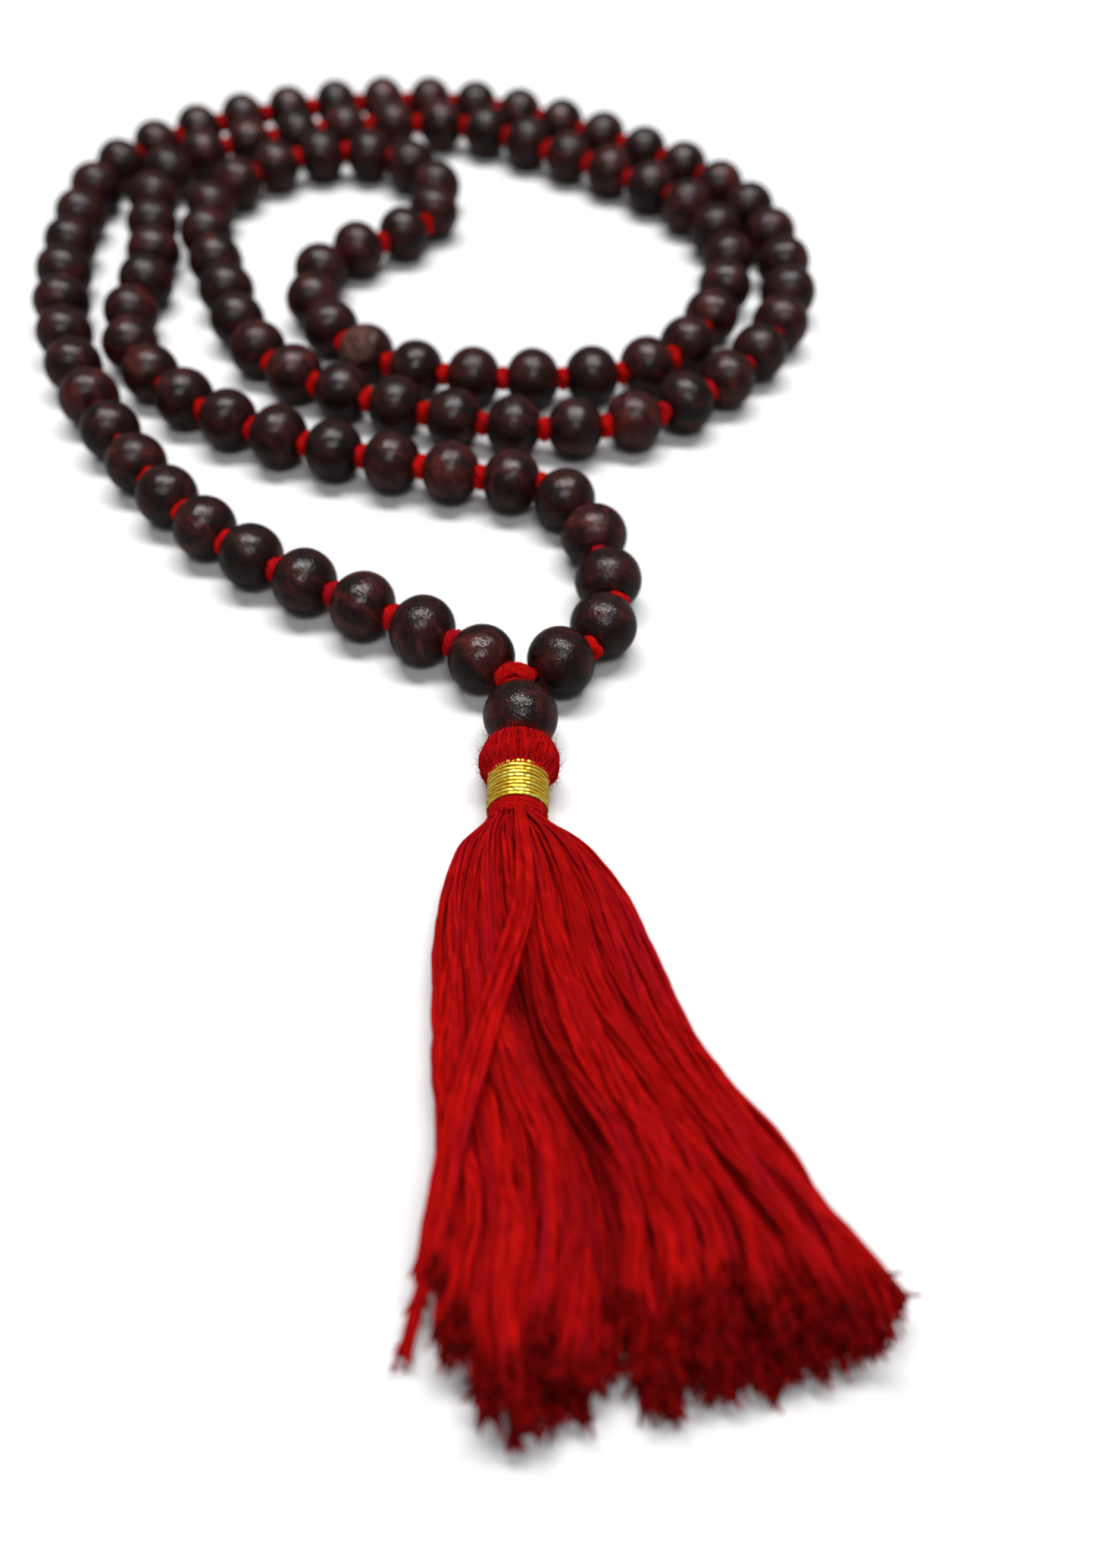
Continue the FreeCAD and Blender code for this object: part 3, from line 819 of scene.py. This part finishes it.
def make_tie(material):
    """Turns of red yarn that bind the neck just under the wrap."""
    rng = np.random.default_rng(SEED + 5)
    form = Form()
    angle = np.linspace(0, 2 * math.pi * TIE_TURNS, TIE_TURNS * TIE_AROUND)
    y = TIE_START_Y - TIE_PITCH * angle / (2 * math.pi) + 0.03 * wander(angle, rng, 0.2)
    radius = TIE_R + 0.04 * wander(angle, rng, 0.3)
    path = round_cord(y, radius, angle)
    sweep(form, path, outwards(angle), TIE_YARN_R, 9, rng, 0.5, lobes=2, relief=0.18, lay=2.6)
    form.build("yarn_neck_tie", material, "red_cord", "tassel", ("neck_tie",))


def disc_places(count, rng, jitter):
    """Points spread evenly over a unit disc, in a spiral."""
    k = np.arange(count) + 0.5
    r, a = np.sqrt(k / count), k * math.pi * (3 - math.sqrt(5))
    places = np.stack([r * np.cos(a), r * np.sin(a)], axis=1)
    return places + rng.normal(0, jitter / math.sqrt(count), places.shape)


def skirt_at(y):
    """Left edge, right edge, thickness and height of the middle at stations down the skirt."""
    fine = curve_through(SKIRT, 160)
    order = np.argsort(fine[:, 0])
    return [np.interp(y, fine[order, 0], fine[order, k]) for k in (1, 2, 3, 4)]


def strand_line(a, b, end_y, side, rng):
    """The middle of one strand from inside the neck to its cut end, and how shaded by the valley it is.

    a and b place it across the bundle and through its thickness, from -1 to 1. side says on which side
    of the valley it lies.
    """
    y = np.linspace(SKIRT_TOP_Y, end_y, YARN_STEPS)
    t = (y - SKIRT_TOP_Y) / (end_y - SKIRT_TOP_Y)
    grow = smooth_step(t * 1.5)
    a = a + grow * 0.048 * wander(t, rng, 2.6)
    b = b + grow * 0.16 * wander(t, rng, 2.4)
    a, b = np.clip(a, -0.97, 0.97), np.clip(b, -0.95, 0.95)
    left, right, thick, middle = skirt_at(y)
    half = (right - left) / 2
    valley_x = np.interp(y, *np.array(VALLEY).T)
    part = LEFT_SHARE + grow * ((valley_x - left - half) / half - LEFT_SHARE)
    a = np.where(a < LEFT_SHARE, part - (LEFT_SHARE - a) * (1 + part) / (1 + LEFT_SHARE),
                 part + (a - LEFT_SHARE) * (1 - part) / (1 - LEFT_SHARE))
    round_off = np.sqrt(np.clip(1 - 0.80 * a * a, 0.05, 1))
    x = left + half * (1 + a)
    z = middle + b * (thick / 2 - 0.4) * round_off
    depth = smooth_step((VALLEY_TOP_Y - y) / VALLEY_FADE) * np.clip(b + 0.5, 0, 1)
    off = np.maximum(side * (x - valley_x), 0)
    x = x + side * VALLEY_GAP * depth * np.exp(-off / 2.0)
    sunk = depth * np.exp(-((off / 1.5) ** 2))
    z = z - VALLEY_DEPTH * sunk
    return np.stack([x, y, z], axis=1), VALLEY_SHADE * sunk


def add_strand(form, line, shade, rng, tone, dark_end):
    """Soft yarns laid together, the first one looser; they part a little towards the cut ends."""
    t = np.linspace(0, 1, len(line))
    turn = 2 * math.pi * (rng.uniform(0, 1) + t * rng.uniform(-1.6, 1.6))
    spread = YARN_R * rng.uniform(1.35, 1.65) * (1 + 0.5 * smooth_step((t - 0.8) * 5))
    for k in range(STRAND_YARNS):
        angle = turn + 2 * math.pi * k / STRAND_YARNS + 0.45 * wander(t, rng, 3.0)
        drift = np.stack([wander(t, rng, 5.0), 0 * t, wander(t, rng, 5.0)], axis=1)
        drift *= (FIRST_DRIFT if k == 0 else DRIFT) * smooth_step(t * 1.5)[:, None]
        path = line + (spread * np.cos(angle))[:, None] * (1, 0, 0) + drift
        path = path + (spread * np.sin(angle))[:, None] * (0, 0, 1)
        path[:, 2] = np.maximum(path[:, 2], YARN_R + 0.03)
        last = len(line) - int(rng.integers(0, 3))
        size, own_tone = YARN_R * rng.uniform(0.85, 1.15), tone + 0.15 * rng.uniform(-1, 1)
        add_yarn(form, path[:last], size, rng, own_tone, dark_end, shade[:last])


def add_yarn(form, path, size, rng, tone, dark_end, shade=0.0):
    """A soft twisted yarn with a frayed end; dark_end says how dark the painted shade on its cut face is
    among the others.
    """
    t = np.linspace(0, 1, len(path))
    radius = size * (0.42 + 0.58 * smooth_step(t * 3.0)) * (1 + 0.07 * wander(t, rng, 11.0))
    tone = float(np.clip(tone, 0, 1))
    sweep(form, path, (0, 0, 1), radius, 7, rng, tone, lobes=2, relief=0.12, lay=6.5,
          shade=np.maximum(shade, dark_end * smooth_step((t - 0.945) / 0.055)))
    tip, ahead = path[-1], unit(path[-1] - path[-3])
    for _ in range(FRAYS):
        lean = np.clip(rng.normal(0, 0.38, 3), -0.7, 0.7)
        reach = rng.uniform(0.10, 0.55)
        s = np.linspace(0, 1, 5)[:, None]
        start = tip - ahead * 0.5 + lean * size * 1.6
        fibre = start + ahead * s * (reach + 0.5) + lean * s * s * 0.9
        fibre[:, 2] = np.maximum(fibre[:, 2], 0.14)
        sweep(form, fibre, (0, 0, 1), np.linspace(0.18, 0.11, 5), 5, rng, tone,
              shade=np.full(5, dark_end * rng.uniform(0.4, 1.0)))


def make_skirt(material):
    """The three main locks of the skirt; their roots under the tie leave room for each to turn whole."""
    rng = np.random.default_rng(SEED + 6)
    forms = {name: Form() for name in ("lock_left", "lock_middle", "lock_right")}
    places = disc_places(STRANDS, rng, 0.5)
    beneath = [(a, UNDER_PLACE) for a in np.linspace(-0.92, 0.92, UNDER_STRANDS)]
    for a, b in np.vstack([places, beneath]):
        lock = "lock_left" if a < LEFT_SHARE else "lock_right" if a > RIGHT_SHARE else "lock_middle"
        end_y = np.interp(FOOT_MIDDLE + FOOT_HALF * a, *np.array(FOOT).T) + rng.normal(0, CUT_UNEVEN)
        end_y += CUT_SLOPE * max(0.0, 0.5 + 0.5 * b) ** 1.4
        line, shade = strand_line(a, b, end_y, -1 if lock == "lock_left" else 1, rng)
        dark_end = CUT_SHADE_MIDDLE - CUT_SHADE_SLOPE * a
        # Painted shade: 0.35 * a darkens the strands towards the right, as the light falls from the left;
        # the rest of the tone is random.
        add_strand(forms[lock], line, shade, rng, rng.uniform() + 0.35 * a, dark_end)
    for name, form in forms.items():
        form.build(f"yarn_{name}", material, "tassel_yarn", name, (name,))


def make_stray(material):
    """The loose lock: a few yarns that cross over the skirt side by side and part at the tip."""
    rng = np.random.default_rng(SEED + 7)
    form = Form()
    spine = curve_through(STRAY, YARN_STEPS)
    t = np.linspace(0, 1, YARN_STEPS)
    tangent = unit(np.gradient(spine, axis=0))
    level = unit(np.cross(tangent, (0, 0, 1)))
    upright = np.cross(level, tangent)
    for k, (a, b) in enumerate(disc_places(STRAY_YARNS, rng, 0.2)):
        spread = 0.5 + 0.5 * smooth_step(t * 1.5) - 0.4 * smooth_step((t - 0.75) * 4)
        across = spread * (a * 1.05 + 0.30 * wander(t, rng, 2.5))
        over = spread * (b * 0.65 + 0.20 * wander(t, rng, 2.5))
        # All but two of them end a little short, so the tip thins out.
        last = YARN_STEPS if k < 2 else int(rng.integers(54, 61))
        path = (spine + level * across[:, None] + upright * over[:, None])[:last]
        path[:, 2] = np.maximum(path[:, 2], YARN_R + 0.03)
        add_yarn(form, path, STRAY_YARN_R * rng.uniform(0.85, 1.1), rng, 0.3 * rng.uniform(), 0.2)
    piece = form.build("yarn_lock_stray", material, "tassel_yarn", stands_for=("lock_stray",))
    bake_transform(piece)


# ---- Stage -------------------------------------------------------------------------------------
def make_floor():
    bpy.ops.mesh.primitive_plane_add(size=6, location=(0, 0, 0))
    floor = bpy.context.object
    floor.name = "floor"
    floor.data.materials.append(pale_floor())


def area_light(name, place, aim, size, watts, colour):
    data = bpy.data.lights.new(name, "AREA")
    data.shape, data.size, data.size_y = "RECTANGLE", size[0], size[1]
    data.energy, data.color = watts, colour
    lamp = bpy.data.objects.new(name, data)
    lamp.location = place
    lamp.rotation_euler = (Vector(aim) - Vector(place)).to_track_quat("-Z", "Y").to_euler()
    bpy.context.scene.collection.objects.link(lamp)


def make_lights():
    """A wide strip overhead and a little behind, and a weaker one in front, above the camera."""
    middle = (0.0, 0.03, 0.0)
    area_light("overhead", (0.02, 0.24, 1.00), middle, (0.86, 0.22), 11.5, (1.0, 0.99, 0.98))
    area_light("front", (0.05, -0.46, 0.86), middle, (0.40, 0.20), 2.5, (0.97, 0.985, 1.0))


def make_surround():
    """A dim room that lights the beads weakly, seen by the camera as a pale wall."""
    world = bpy.data.worlds.new("surround")
    world.use_nodes = True
    nodes, links = world.node_tree.nodes, world.node_tree.links
    background = nodes["Background"]
    background.inputs["Color"].default_value = WALL_COLOUR
    seen = nodes.new("ShaderNodeLightPath").outputs["Is Camera Ray"]
    strength = nodes.new("ShaderNodeMapRange")
    links.new(seen, strength.inputs["Value"])
    strength.inputs["To Min"].default_value = WALL_LIGHT
    strength.inputs["To Max"].default_value = WALL_SEEN
    links.new(strength.outputs["Result"], background.inputs["Strength"])
    bpy.context.scene.world = world


def make_camera():
    """The photographer's view: from the tassel's side, looking down at about fifty degrees."""
    data = bpy.data.cameras.new("camera")
    data.lens, data.sensor_width, data.sensor_fit = CAMERA_LENS, 36.0, "HORIZONTAL"
    camera = bpy.data.objects.new("camera", data)
    bpy.context.scene.collection.objects.link(camera)
    look = Vector((0, math.cos(CAMERA_DOWN), -math.sin(CAMERA_DOWN)))
    roll = Matrix.Rotation(CAMERA_ROLL, 3, "Z").to_quaternion()
    camera.rotation_mode = "QUATERNION"
    camera.rotation_quaternion = look.to_track_quat("-Z", "Y") @ roll
    camera.location = CAMERA_AT
    data.clip_start, data.clip_end = 0.005, 20.0
    sharp = bpy.data.objects.new("focus", None)
    sharp.location = FOCUS_AT
    bpy.context.scene.collection.objects.link(sharp)
    data.dof.use_dof = True
    data.dof.focus_object = sharp
    data.dof.aperture_fstop = F_STOP
    bpy.context.scene.camera = camera


def colour_kept_nodes(material):
    """The cord inside the guru bead and the knot inside the head keep their CAD shapes."""
    for node in ("guru_cord", "tassel_knot"):
        piece = frame["nodes"][node]
        piece.material_slots[0].link = "OBJECT"
        piece.material_slots[0].material = material


def main():
    wood = rosewood()
    cord = yarn("red_cord", (0.22, 0.0012, 0.0010), (0.48, 0.0044, 0.0034), (0.66, 0.0120, 0.0080), 0.30)
    tassel = yarn("tassel_yarn", (0.175, 0.0009, 0.0010), (0.45, 0.0034, 0.0030), (0.68, 0.0105, 0.0075),
                  0.10)
    strand = find_beads()
    make_beads(strand, wood)
    make_cords(strand, cord)
    make_gather_knot(cord)
    colour_kept_nodes(cord)
    make_head(tassel)
    make_wrap(gold_thread())
    make_tie(cord)
    make_skirt(tassel)
    make_stray(tassel)
    make_floor()
    make_lights()
    make_surround()
    make_camera()
    bpy.context.scene.view_settings.view_transform = "Standard"


main()
